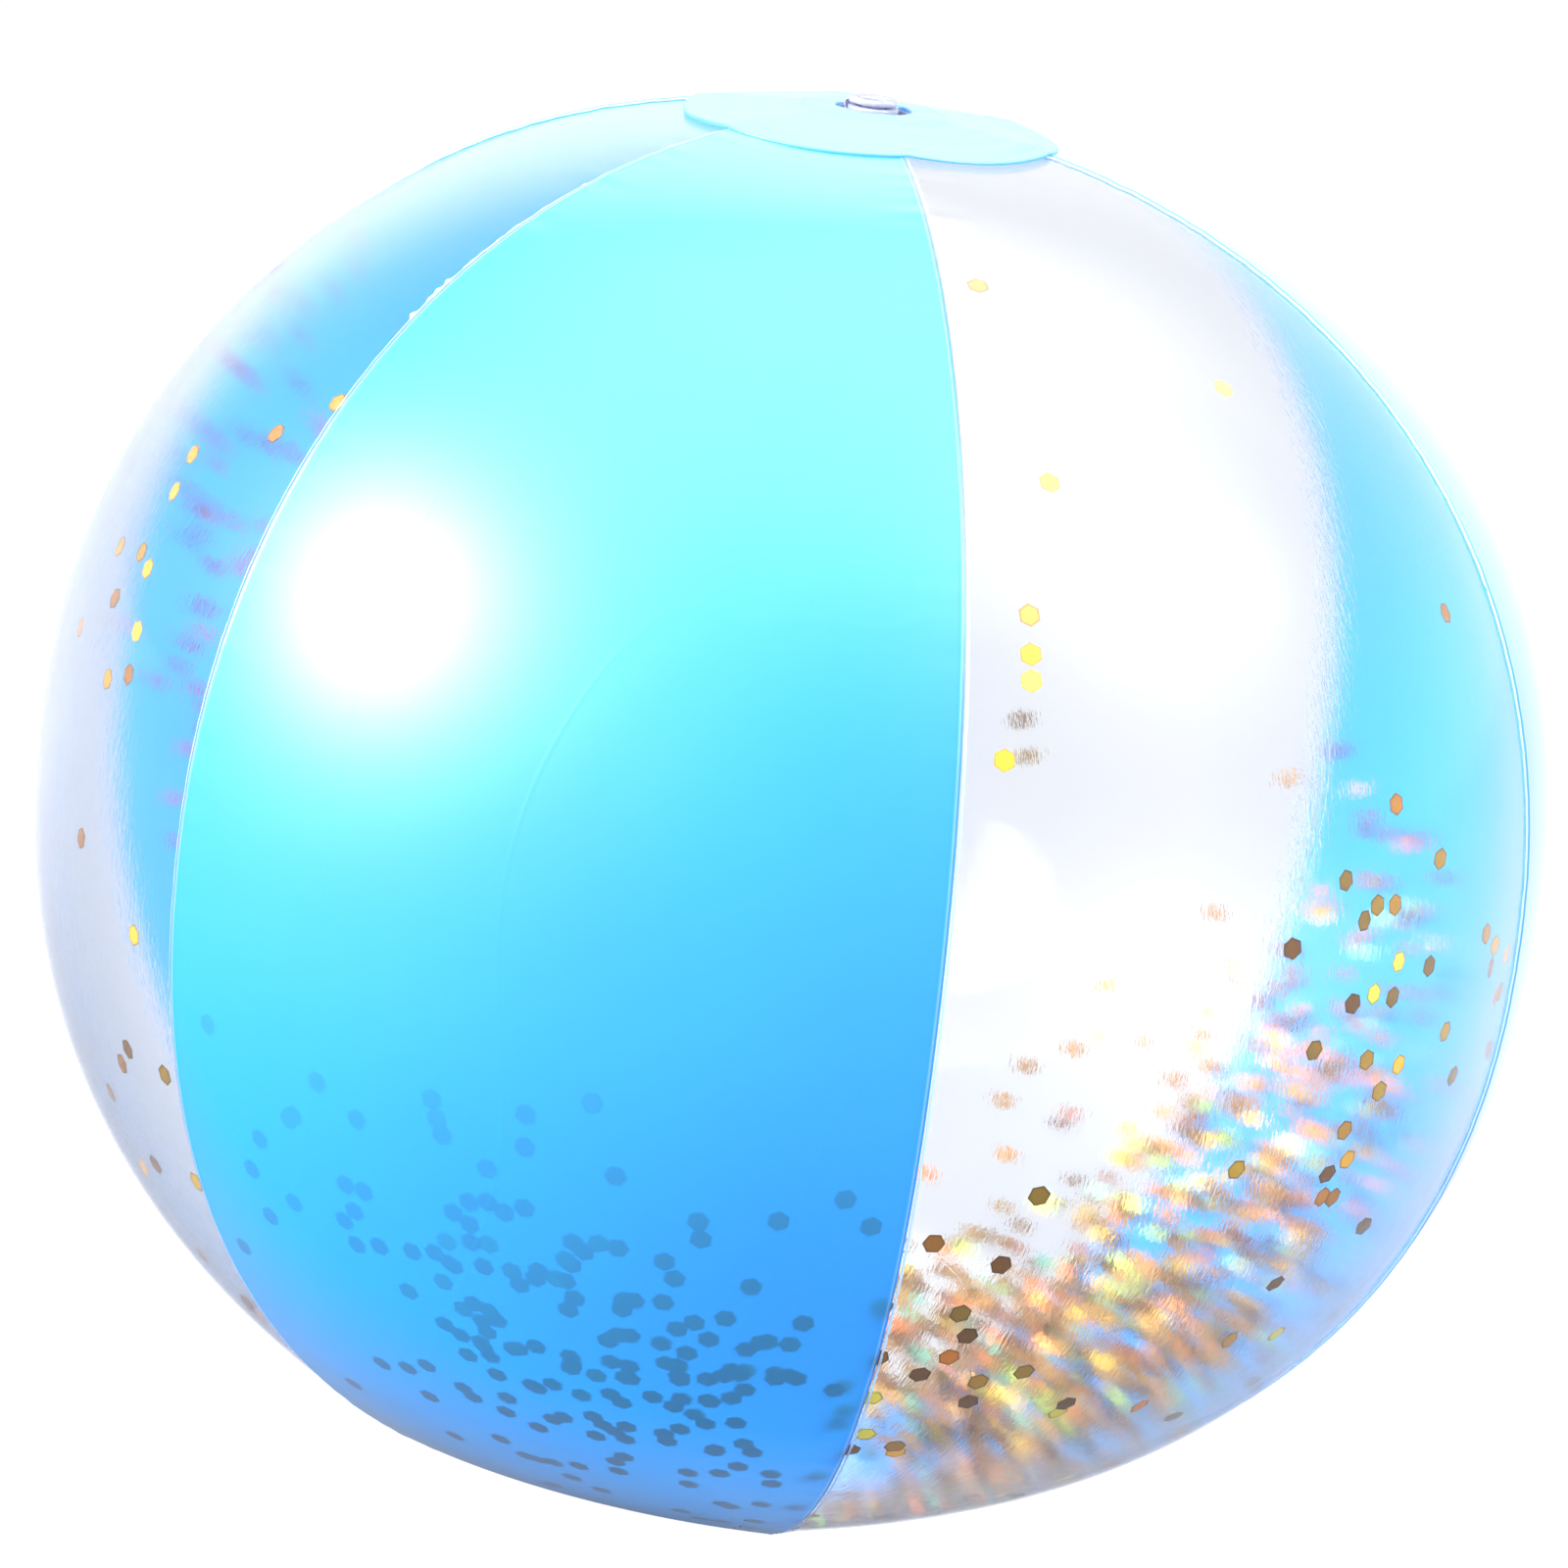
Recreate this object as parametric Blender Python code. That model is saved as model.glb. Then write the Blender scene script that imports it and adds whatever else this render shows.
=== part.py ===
"""Inflatable beach ball: six film gores, two end caps, a push-in valve and loose sequins.

Metres, +Z up along the pole axis, with the valve on top. The origin is on the ground,
under the middle of the flat on the bottom cap.
"""

import math

import bmesh
import bpy
from mathutils import Matrix, Vector

# The ball. The blue film's outer face is the nominal surface, and every other film is offset from it.
EQUATOR_RADIUS = 0.135
POLE_RADIUS = 0.127
FULLNESS = 2.16  # superellipse exponent of the side view: 2 is an ellipse, and more is squarer
GORES = 6
FIRST_SEAM = math.radians(-120)
GORE_BULGE = 0.007  # how much wider the middle of a gore is than its seams, at the equator
SEAM_RIDGE = 0.025  # how much nearer the equator the middle of a gore is than its seams

# The film and its welds.
FILM = 0.00025
GAP = 0.0003
LAYER = FILM + GAP
LAP = 0.004

# The end caps, which cover the ends of the gores.
CAP_RADIUS = 0.033
GORE_END_RADIUS = 0.027
REST_RADIUS = 0.024  # the flat that a few grams of ball press into the bottom cap
GORE_ROWS = 16
BLUE_COLUMNS = 5
CLEAR_COLUMNS = 6
CAP_SEGMENTS = 36

# The valve, stored pushed in. Its heights count from the top cap's outer face.
HOLE_RADIUS = 0.0066
FLANGE_RADIUS = 0.0135
FLANGE_THICKNESS = 0.0005
SKIRT_WALL = 0.0006
SKIRT_FOOT_RADIUS = 0.0057
SKIRT_LENGTH = 0.0095
STEM_RADIUS = 0.0045
STEM_STAND = 0.0002
BORE_RADIUS = 0.0028
COLLAR_RADIUS = 0.0054
COLLAR_HEIGHT = 0.0008
PLUG_HEAD_RADIUS = 0.0043
PLUG_HEAD_HEIGHT = 0.0013
PLUG_SHANK_RADIUS = 0.0026
PLUG_TIP_RADIUS = 0.0016
PLUG_SHANK_LENGTH = 0.0034
STRAP_WIDTH = 0.0030
STRAP_THICKNESS = 0.0006
STRAP_ROOT_X = -0.0049
LUG_DEPTH = 0.0012
FLAP_RADIUS = 0.0038
FLAP_THICKNESS = 0.0003
FLAP_ROOT_X = -0.0044
VALVE_SEGMENTS = 24

# The sequins that stand for the hundreds inside.
SEQUINS = 40
SEQUIN_ACROSS_CORNERS = 0.0039
SEQUIN_THICKNESS = 0.0001
SEQUIN_DEPTH = 0.0022  # from the nominal surface, clear of the facets of the film
SEQUIN_TOP = math.radians(62)
SEQUIN_BOTTOM = math.radians(158)
GOLDEN_ANGLE = math.radians(137.508)


def clear_scene():
    for old in list(bpy.data.objects):
        bpy.data.objects.remove(old, do_unlink=True)


def make_material(name, colour, roughness, metallic=0.0, transmission=0.0):
    material = bpy.data.materials.new(name)
    material.use_nodes = True
    shader = material.node_tree.nodes["Principled BSDF"]
    shader.inputs["Base Color"].default_value = (*colour, 1)
    shader.inputs["Roughness"].default_value = roughness
    shader.inputs["Metallic"].default_value = metallic
    shader.inputs["Transmission Weight"].default_value = transmission
    return material


def add_object(name, bm, material, origin=(0, 0, 0)):
    """Turn the mesh into an object whose origin is at the given place, with its faces pointing out."""
    bmesh.ops.recalc_face_normals(bm, faces=bm.faces)
    bm.transform(Matrix.Translation(-Vector(origin)))
    mesh = bpy.data.meshes.new(name)
    bm.to_mesh(mesh)
    bm.free()
    mesh.shade_smooth()
    mesh.set_sharp_from_angle(angle=math.radians(35))
    mesh.materials.append(material)
    piece = bpy.data.objects.new(name, mesh)
    piece.location = origin
    bpy.context.scene.collection.objects.link(piece)
    return piece


# The nominal surface ------------------------------------------------------------------------------


def polar(radius):
    """The angle from the top pole, as surface() takes it, where the ball has this radius."""
    return math.asin((radius / EQUATOR_RADIUS) ** (FULLNESS / 2))


def side_view(angle):
    """The radius and the height above the centre of the plain, ungored ball at this angle."""
    radius = EQUATOR_RADIUS * math.sin(angle) ** (2 / FULLNESS)
    height = POLE_RADIUS * abs(math.cos(angle)) ** (2 / FULLNESS)
    return radius, math.copysign(height, math.cos(angle))


CENTRE_HEIGHT = side_view(polar(REST_RADIUS))[1] + LAYER


def outward(angle):
    """The radial and vertical parts of the plain ball's normal at this angle."""
    radius, height = side_view(angle)
    across = (radius / EQUATOR_RADIUS) ** (FULLNESS - 1) / EQUATOR_RADIUS
    up = abs(height / POLE_RADIUS) ** (FULLNESS - 1) / POLE_RADIUS
    length = math.hypot(across, up)
    return across / length, math.copysign(up / length, height)


def surface(angle, longitude, depth=0.0):
    """A point of the gored ball, this deep under the nominal surface."""
    radius, height = side_view(angle)
    middle = math.sin(angle) * abs(math.sin(GORES / 2 * (longitude - FIRST_SEAM)))
    normal = outward(angle)
    radius = radius * (1 + GORE_BULGE * middle) - depth * normal[0]
    height = height * (1 - SEAM_RIDGE * middle) - depth * normal[1]
    return Vector((radius * math.cos(longitude), radius * math.sin(longitude), CENTRE_HEIGHT + height))


# Film pieces --------------------------------------------------------------------------------------


def make_sheet(name, outer, inner, material, wraps=False, filled=False):
    """A closed sheet between two grids of points.

    wraps joins the last column to the first, and filled closes the first row with a flat face.
    """
    bm = bmesh.new()
    tops = [[bm.verts.new(point) for point in row] for row in outer]
    unders = [[bm.verts.new(point) for point in row] for row in inner]
    rows, columns = len(outer), len(outer[0])
    steps = [(c, (c + 1) % columns) for c in range(columns if wraps else columns - 1)]
    for r in range(rows - 1):
        for c, d in steps:
            bm.faces.new((tops[r][c], tops[r][d], tops[r + 1][d], tops[r + 1][c]))
            bm.faces.new((unders[r][d], unders[r][c], unders[r + 1][c], unders[r + 1][d]))
        if not wraps:
            for c in (0, columns - 1):
                bm.faces.new((tops[r][c], tops[r + 1][c], unders[r + 1][c], unders[r][c]))
    for r in (rows - 1,) if filled else (0, rows - 1):
        for c, d in steps:
            bm.faces.new((tops[r][c], tops[r][d], unders[r][d], unders[r][c]))
    if filled:
        bm.faces.new(tops[0])
        bm.faces.new(list(reversed(unders[0])))
    return add_object(name, bm, material)


def gore_angles():
    """The polar angles of a gore's rows: its end, the cap's rim, even steps, and the same below."""
    end, rim = polar(GORE_END_RADIUS), polar(CAP_RADIUS)
    step = (math.pi - 2 * rim) / GORE_ROWS
    return [end, *(rim + i * step for i in range(GORE_ROWS + 1)), math.pi - end]


def gore_longitudes(angle, middle, columns, laps_under):
    """The longitudes of a gore's columns. The lap's two edges are columns of both films."""
    half = math.pi / GORES
    lap = LAP / side_view(angle)[0]
    inside = half if laps_under else half - lap
    edge = half + lap if laps_under else half
    between = [-inside + 2 * inside * i / columns for i in range(columns + 1)]
    return [middle + turn for turn in (-edge, *between, edge)]


def add_gore(name, middle, columns, laps_under, material):
    depth = LAYER if laps_under else 0.0
    outer, inner = [], []
    for angle in gore_angles():
        longitudes = gore_longitudes(angle, middle, columns, laps_under)
        outer.append([surface(angle, longitude, depth) for longitude in longitudes])
        inner.append([surface(angle, longitude, depth + FILM) for longitude in longitudes])
    return make_sheet(name, outer, inner, material)


def cap_ring(radius, depth, at_bottom=False):
    angle = polar(radius)
    if at_bottom:
        angle = math.pi - angle
    turns = [math.tau * i / CAP_SEGMENTS for i in range(CAP_SEGMENTS)]
    return [surface(angle, turn, depth) for turn in turns]


def add_top_cap(material):
    radii = (HOLE_RADIUS, FLANGE_RADIUS, 0.020, GORE_END_RADIUS, CAP_RADIUS)
    outer = [cap_ring(radius, -LAYER) for radius in radii]
    inner = [cap_ring(radius, -GAP) for radius in radii]
    return make_sheet("top_cap", outer, inner, material, wraps=True)


def add_bottom_cap(material):
    radii = (REST_RADIUS, GORE_END_RADIUS, CAP_RADIUS)
    outer = [cap_ring(radius, -LAYER, at_bottom=True) for radius in radii]
    inner = [cap_ring(radius, -GAP, at_bottom=True) for radius in radii]
    for row, height in ((outer[0], 0.0), (inner[0], FILM)):
        for point in row:
            point.z = height
    return make_sheet("bottom_cap", outer, inner, material, wraps=True, filled=True)


def add_valve_flange(material):
    under_cap = FILM + GAP - LAYER
    radii = (HOLE_RADIUS, FLANGE_RADIUS)
    outer = [cap_ring(radius, under_cap) for radius in radii]
    inner = [cap_ring(radius, under_cap + FLANGE_THICKNESS) for radius in radii]
    return make_sheet("valve_flange", outer, inner, material, wraps=True)


# The valve ----------------------------------------------------------------------------------------


def turned(profile):
    """A mesh turned about the Z axis from a loop of (radius, height) points; 0 is on the axis."""
    bm = bmesh.new()
    rings = []
    for radius, height in profile:
        count = VALVE_SEGMENTS if radius else 1
        turns = [math.tau * i / VALVE_SEGMENTS for i in range(count)]
        rings.append([bm.verts.new((radius * math.cos(t), radius * math.sin(t), height)) for t in turns])
    for ring, following in zip(rings, rings[1:] + rings[:1]):
        if len(ring) == len(following) == 1:
            continue
        for i in range(VALVE_SEGMENTS):
            j = (i + 1) % VALVE_SEGMENTS
            corners = (ring[i % len(ring)], ring[j % len(ring)], following[j % len(following)])
            corners += (following[i % len(following)],)
            bm.faces.new(dict.fromkeys(corners))
    return bm


def add_block(bm, low, high):
    """Add a box between two corners to the mesh, as a body of its own."""
    size = Vector(high) - Vector(low)
    place = Matrix.Translation((Vector(high) + Vector(low)) / 2) @ Matrix.Diagonal((*size, 1))
    bmesh.ops.create_cube(bm, size=1, matrix=place)


def unite_with_block(piece, low, high, name):
    """Join a block to the piece with an exact Boolean union; the block is a hidden guide."""
    bm = bmesh.new()
    add_block(bm, low, high)
    block = add_object(name, bm, piece.data.materials[0])
    block.hide_render = True
    block.display_type = "WIRE"
    union = piece.modifiers.new("union", "BOOLEAN")
    union.operation = "UNION"
    union.object = block


def valve_levels():
    """The heights that the valve's pieces share, above the ground."""
    face = surface(polar(HOLE_RADIUS), FIRST_SEAM, -LAYER).z
    foot = face - SKIRT_LENGTH
    rim = face + STEM_STAND
    return {"face": face, "foot": foot, "rim": rim, "base": foot - GAP - COLLAR_HEIGHT}


def add_valve_skirt(levels, material):
    top = HOLE_RADIUS - GAP
    profile = (
        (top, levels["face"]),
        (SKIRT_FOOT_RADIUS, levels["foot"]),
        (SKIRT_FOOT_RADIUS - SKIRT_WALL, levels["foot"]),
        (top - SKIRT_WALL, levels["face"]),
    )
    return add_object("valve_skirt", turned(profile), material)


def add_valve_stem(levels, material):
    """The tube with its foot collar, and the lug that the plug's strap grows from."""
    profile = (
        (BORE_RADIUS, levels["rim"]),
        (STEM_RADIUS, levels["rim"]),
        (STEM_RADIUS, levels["base"] + COLLAR_HEIGHT),
        (COLLAR_RADIUS, levels["base"] + COLLAR_HEIGHT),
        (COLLAR_RADIUS, levels["base"]),
        (BORE_RADIUS, levels["base"]),
    )
    stem = add_object("valve_stem", turned(profile), material)
    low = (STRAP_ROOT_X - STRAP_THICKNESS / 2, -STRAP_WIDTH / 2, levels["rim"] - LUG_DEPTH)
    high = (-STEM_RADIUS + 0.0010, STRAP_WIDTH / 2, levels["rim"] - GAP)
    unite_with_block(stem, low, high, "guide_strap_lug")
    return stem


def add_valve_plug(levels, material):
    """The stopper and its strap, with the origin on the strap's bending line."""
    seat = levels["rim"] + GAP
    profile = (
        (0, seat + PLUG_HEAD_HEIGHT),
        (PLUG_HEAD_RADIUS * 0.9, seat + PLUG_HEAD_HEIGHT),
        (PLUG_HEAD_RADIUS, seat + PLUG_HEAD_HEIGHT * 0.75),
        (PLUG_HEAD_RADIUS, seat),
        (PLUG_SHANK_RADIUS, seat),
        (PLUG_TIP_RADIUS, seat - PLUG_SHANK_LENGTH),
        (0, seat - PLUG_SHANK_LENGTH),
    )
    hinge = (STRAP_ROOT_X, 0, seat + STRAP_THICKNESS / 2)
    plug = add_object("valve_plug", turned(profile), material, hinge)
    low = (STRAP_ROOT_X, -STRAP_WIDTH / 2, seat)
    high = (-PLUG_HEAD_RADIUS * 0.8, STRAP_WIDTH / 2, seat + STRAP_THICKNESS)
    unite_with_block(plug, low, high, "guide_strap")
    return plug


def add_valve_flap(levels, material):
    """The non-return flap under the bore, with the origin on the line where it bends."""
    top = levels["base"] - GAP
    profile = (
        (0, top),
        (FLAP_RADIUS, top),
        (FLAP_RADIUS, top - FLAP_THICKNESS),
        (0, top - FLAP_THICKNESS),
    )
    hinge = (FLAP_ROOT_X, 0, top)
    flap = add_object("valve_flap", turned(profile), material, hinge)
    low = (FLAP_ROOT_X, -STRAP_WIDTH / 2, top - FLAP_THICKNESS)
    high = (-FLAP_RADIUS * 0.8, STRAP_WIDTH / 2, top)
    unite_with_block(flap, low, high, "guide_flap_tab")
    return flap


# The sequins --------------------------------------------------------------------------------------


def add_sequin(number, material):
    """A hexagonal flake lying against the inside of the film, crowded towards the bottom."""
    share = (number + 0.5) / SEQUINS
    angle = SEQUIN_TOP + (SEQUIN_BOTTOM - SEQUIN_TOP) * math.sqrt(share)
    longitude = number * GOLDEN_ANGLE
    across, up = outward(angle)
    normal = Vector((across * math.cos(longitude), across * math.sin(longitude), up))
    turn = normal.to_track_quat("Z", "Y").to_matrix().to_4x4() @ Matrix.Rotation(longitude, 4, "Z")
    bm = bmesh.new()
    bmesh.ops.create_cone(
        bm,
        cap_ends=True,
        segments=6,
        radius1=SEQUIN_ACROSS_CORNERS / 2,
        radius2=SEQUIN_ACROSS_CORNERS / 2,
        depth=SEQUIN_THICKNESS,
        matrix=Matrix.Translation(surface(angle, longitude, SEQUIN_DEPTH)) @ turn,
    )
    return add_object(f"sequin_{number + 1:02d}", bm, material)


def main():
    clear_scene()
    blue = make_material("blue_film", (0.16, 0.66, 0.96), 0.18, transmission=0.4)
    clear = make_material("clear_film", (0.90, 0.92, 0.98), 0.15, transmission=0.9)
    pale = make_material("cap_film", (0.62, 0.92, 0.98), 0.2, transmission=0.4)
    soft = make_material("valve_vinyl", (0.88, 0.90, 0.94), 0.35, transmission=0.5)
    gold = make_material("sequin_gold", (0.78, 0.55, 0.20), 0.25, metallic=1.0)

    for i in range(GORES // 2):
        middle = FIRST_SEAM + (4 * i + 1) * math.pi / GORES
        add_gore(f"gore_blue_{i + 1}", middle, BLUE_COLUMNS, False, blue)
        add_gore(f"gore_clear_{i + 1}", middle + math.tau / GORES, CLEAR_COLUMNS, True, clear)
    add_top_cap(pale)
    add_bottom_cap(pale)

    levels = valve_levels()
    add_valve_flange(soft)
    add_valve_skirt(levels, soft)
    add_valve_stem(levels, soft)
    add_valve_plug(levels, soft)
    add_valve_flap(levels, soft)

    for number in range(SEQUINS):
        add_sequin(number, gold)


main()
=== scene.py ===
"""Looks of the inflatable beach ball: welded film gores, end caps, a stored valve, loose sequins.

Metres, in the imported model's frame: +Z up along the pole axis, with the origin on the ground.
"""

import math

import bpy
import numpy as np
from mathutils import Matrix, Vector


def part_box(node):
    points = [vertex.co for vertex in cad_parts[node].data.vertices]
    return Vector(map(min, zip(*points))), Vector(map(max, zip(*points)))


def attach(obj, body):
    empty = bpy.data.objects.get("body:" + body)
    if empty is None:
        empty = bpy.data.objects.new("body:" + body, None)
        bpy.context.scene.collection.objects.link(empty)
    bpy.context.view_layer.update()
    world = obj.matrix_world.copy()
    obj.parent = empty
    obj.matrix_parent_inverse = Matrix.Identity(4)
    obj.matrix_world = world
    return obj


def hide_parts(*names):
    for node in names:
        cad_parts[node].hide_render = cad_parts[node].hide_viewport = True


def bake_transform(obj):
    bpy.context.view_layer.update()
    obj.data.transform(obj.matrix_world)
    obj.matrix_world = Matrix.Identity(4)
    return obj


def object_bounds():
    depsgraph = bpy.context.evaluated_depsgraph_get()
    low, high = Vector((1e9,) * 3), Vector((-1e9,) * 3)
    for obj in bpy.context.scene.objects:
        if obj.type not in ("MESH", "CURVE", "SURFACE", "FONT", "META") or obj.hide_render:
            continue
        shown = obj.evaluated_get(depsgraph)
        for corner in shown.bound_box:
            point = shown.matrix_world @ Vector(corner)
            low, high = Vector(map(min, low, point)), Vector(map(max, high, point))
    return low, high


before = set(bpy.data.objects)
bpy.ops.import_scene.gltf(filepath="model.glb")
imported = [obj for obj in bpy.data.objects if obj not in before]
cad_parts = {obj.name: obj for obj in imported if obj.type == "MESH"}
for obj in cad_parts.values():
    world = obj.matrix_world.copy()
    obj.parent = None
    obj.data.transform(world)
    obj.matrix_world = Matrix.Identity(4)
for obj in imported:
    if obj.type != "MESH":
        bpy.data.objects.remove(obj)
CAD_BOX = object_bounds()

# The ball, as in the CAD. Sizes come from the frame where a node or the whole box gives them.
FULLNESS = 2.16  # superellipse exponent of the side view
GORES = 6
FIRST_SEAM = math.radians(-120)
SEAM_STEP = math.tau / GORES
GORE_BULGE = 0.007  # share of the radius by which a gore's middle stands out past its seams
SEAM_RIDGE = 0.025  # share of the height by which a gore's middle lies below its seams
FILM = 0.00025
GAP = 0.0003  # between welded layers, as in the CAD
LAYER = FILM + GAP
LAP = 0.004
CAP_RADIUS = 0.033
GORE_END_RADIUS = 0.027
REST_RADIUS = 0.024
HOLE_RADIUS = 0.0066
FLANGE_RADIUS = 0.0135
# A soft fold left by packing, across the front gore: its middle, half its turn, width and height.
FOLD_LONGITUDE = math.radians(-84)
FOLD_ANGLE = math.radians(30.6)
FOLD_REACH = math.radians(22)
FOLD_WIDTH = 0.003
FOLD_HEIGHT = 0.00016
# Puckers beside the seams: length and shift of each wave, how far they reach, and their height at
# the equator and what the poles add.
PUCKERS = ((0.0047, 1.3), (0.0071, 4.1), (0.0113, 2.2))
PUCKER_REACH = 0.006
PUCKER_HEIGHT, PUCKER_AT_POLE = 0.000012, 0.00003

BLUE_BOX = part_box("gore_blue_1")
EQUATOR_RADIUS = (CAD_BOX[1].x - CAD_BOX[0].x) / 2
CENTRE_HEIGHT = (BLUE_BOX[0].z + BLUE_BOX[1].z) / 2
END_SHARE = (1 - (GORE_END_RADIUS / EQUATOR_RADIUS) ** FULLNESS) ** (1 / FULLNESS)
POLE_RADIUS = (BLUE_BOX[1].z - BLUE_BOX[0].z) / 2 / END_SHARE
CENTRE = Vector((0, 0, CENTRE_HEIGHT))
MEAN_RADIUS = (EQUATOR_RADIUS + POLE_RADIUS) / 2

# The camera, from the middle of the ball.
CAMERA_AZIMUTH = math.radians(18.1)
CAMERA_ELEVATION = math.radians(14.95)
CAMERA_ROLL = math.radians(6.7)
CAMERA_DISTANCE = 8.03 * EQUATOR_RADIUS
CAMERA_LENS = 138.0
CAMERA_SHIFT = (-0.0046, 0.0143)


# The nominal surface ------------------------------------------------------------------------------


def polar(radius):
    """The angle from the top pole where the ball has this radius."""
    return math.asin((radius / EQUATOR_RADIUS) ** (FULLNESS / 2))


def side_view(angle):
    """Radius and height above the centre of the plain, ungored ball."""
    radius = EQUATOR_RADIUS * np.sin(angle) ** (2 / FULLNESS)
    height = POLE_RADIUS * np.abs(np.cos(angle)) ** (2 / FULLNESS)
    return radius, np.copysign(height, np.cos(angle))


def outward(angle):
    """Radial and vertical parts of the plain ball's normal."""
    radius, height = side_view(angle)
    across = (radius / EQUATOR_RADIUS) ** (FULLNESS - 1) / EQUATOR_RADIUS
    up = (np.abs(height) / POLE_RADIUS) ** (FULLNESS - 1) / POLE_RADIUS
    length = np.hypot(across, up)
    return across / length, np.copysign(up / length, height)


def seam_turn(longitude):
    """The turn from the nearest seam to this longitude."""
    return np.mod(longitude - FIRST_SEAM + SEAM_STEP / 2, SEAM_STEP) - SEAM_STEP / 2


def seam_distance(angle, longitude):
    """How far a place is from the nearest seam, across the gore."""
    return np.abs(seam_turn(longitude)) * side_view(angle)[0]


def relief(angle, longitude):
    """How far the film stands proud of the nominal surface: puckers by the seams, and one fold."""
    along = np.asarray(angle) * MEAN_RADIUS
    seam = np.round((longitude - FIRST_SEAM) / SEAM_STEP)
    waves = 0.0
    for length, shift in PUCKERS:
        waves = waves + np.sin(math.tau * along / length + shift * (seam + 7))
    near = np.exp(-((seam_distance(angle, longitude) / PUCKER_REACH) ** 2))
    tight = PUCKER_HEIGHT + PUCKER_AT_POLE * np.abs(np.cos(angle)) ** 4
    off = (angle - FOLD_ANGLE) * MEAN_RADIUS
    turn = np.angle(np.exp(1j * (longitude - FOLD_LONGITUDE))) / FOLD_REACH
    fold = FOLD_HEIGHT * np.exp(-((off / FOLD_WIDTH) ** 2)) * np.exp(-(turn**6))
    return tight * near * waves + fold


def surface(angle, longitude, depth=0.0):
    """Points of the gored ball, this deep under the nominal surface."""
    angle, longitude = np.broadcast_arrays(np.asarray(angle, float), np.asarray(longitude, float))
    radius, height = side_view(angle)
    middle = np.sin(angle) * np.abs(np.sin(GORES / 2 * (longitude - FIRST_SEAM)))
    across, up = outward(angle)
    inward = depth - relief(angle, longitude)
    radius = radius * (1 + GORE_BULGE * middle) - inward * across
    height = height * (1 - SEAM_RIDGE * middle) - inward * up
    return np.stack(
        (radius * np.cos(longitude), radius * np.sin(longitude), CENTRE_HEIGHT + height), axis=-1
    )


def arc_steps(start, end, count):
    """Polar angles that cut the ball's side view into equal lengths, and the length to each."""
    fine = np.linspace(start, end, 2001)
    radius, height = side_view(fine)
    length = np.concatenate(([0.0], np.cumsum(np.hypot(np.diff(radius), np.diff(height)))))
    angles = np.interp(np.linspace(0, length[-1], count), length, fine)
    return angles, np.linspace(0, length[-1], count)


# Meshes -------------------------------------------------------------------------------------------


def grid_faces(rows, columns, wraps=False, flip=False, first=0):
    """Four-cornered faces of a grid of points numbered row by row."""
    across = columns if wraps else columns - 1
    row, column = np.meshgrid(np.arange(rows - 1), np.arange(across), indexing="ij")
    here, below = row * columns, (row + 1) * columns
    beside = (column + 1) % columns
    faces = np.stack((here + column, below + column, below + beside, here + beside), -1)
    faces = faces.reshape(-1, 4) + first
    return faces[:, ::-1] if flip else faces


def film_place(across, along):
    """The film's own map: metres across and along the film, at each point of a grid."""
    return np.stack(np.broadcast_arrays(across, along), -1)


def add_object(name, mesh):
    """An object in the scene from a finished mesh."""
    mesh.update()
    piece = bpy.data.objects.new(name, mesh)
    bpy.context.scene.collection.objects.link(piece)
    return piece


def add_piece(name, points, faces, materials, slots=None, film_map=None, marks=None):
    """A smooth object from points and faces, with the film's map and per-point marks if given."""
    mesh = bpy.data.meshes.new(name)
    points = np.asarray(points).reshape(-1, 3).tolist()
    mesh.from_pydata(points, [], [list(map(int, face)) for face in faces])
    for material in materials:
        mesh.materials.append(material)
    if slots is not None:
        mesh.polygons.foreach_set("material_index", np.asarray(slots, np.int32))
    if film_map is not None:
        corners = np.zeros(len(mesh.loops), np.int32)
        mesh.loops.foreach_get("vertex_index", corners)
        layer = mesh.uv_layers.new(name="film")
        film_map = np.asarray(film_map, np.float32).reshape(-1, 2)
        layer.data.foreach_set("uv", film_map[corners].ravel())
    for label, values in (marks or {}).items():
        attribute = mesh.attributes.new(label, "FLOAT", "POINT")
        attribute.data.foreach_set("value", np.asarray(values, np.float32).ravel())
    mesh.shade_smooth()
    return add_object(name, mesh)


# Materials ----------------------------------------------------------------------------------------

# Dark blue of painted shadow dots, as small bits behind the film would cast.
SPECK_SHADOW = (0.004, 0.10, 0.45, 1)
SHEEN = (0.90, 0.95, 1.0, 1)
CLEAR_TINT = (0.972, 0.976, 0.992, 1)
CLEAR_SHADOW = (0.975, 0.978, 0.992, 1)
HAZE_TINT = (0.97, 0.975, 1.0, 1)
VINYL_DIM = (0.36, 0.38, 0.52, 1)
VINYL_BRIGHT = (0.60, 0.62, 0.74, 1)
FLECK = (1.0, 0.75, 0.25, 1)
FACING_BLEND = 0.5


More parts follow.
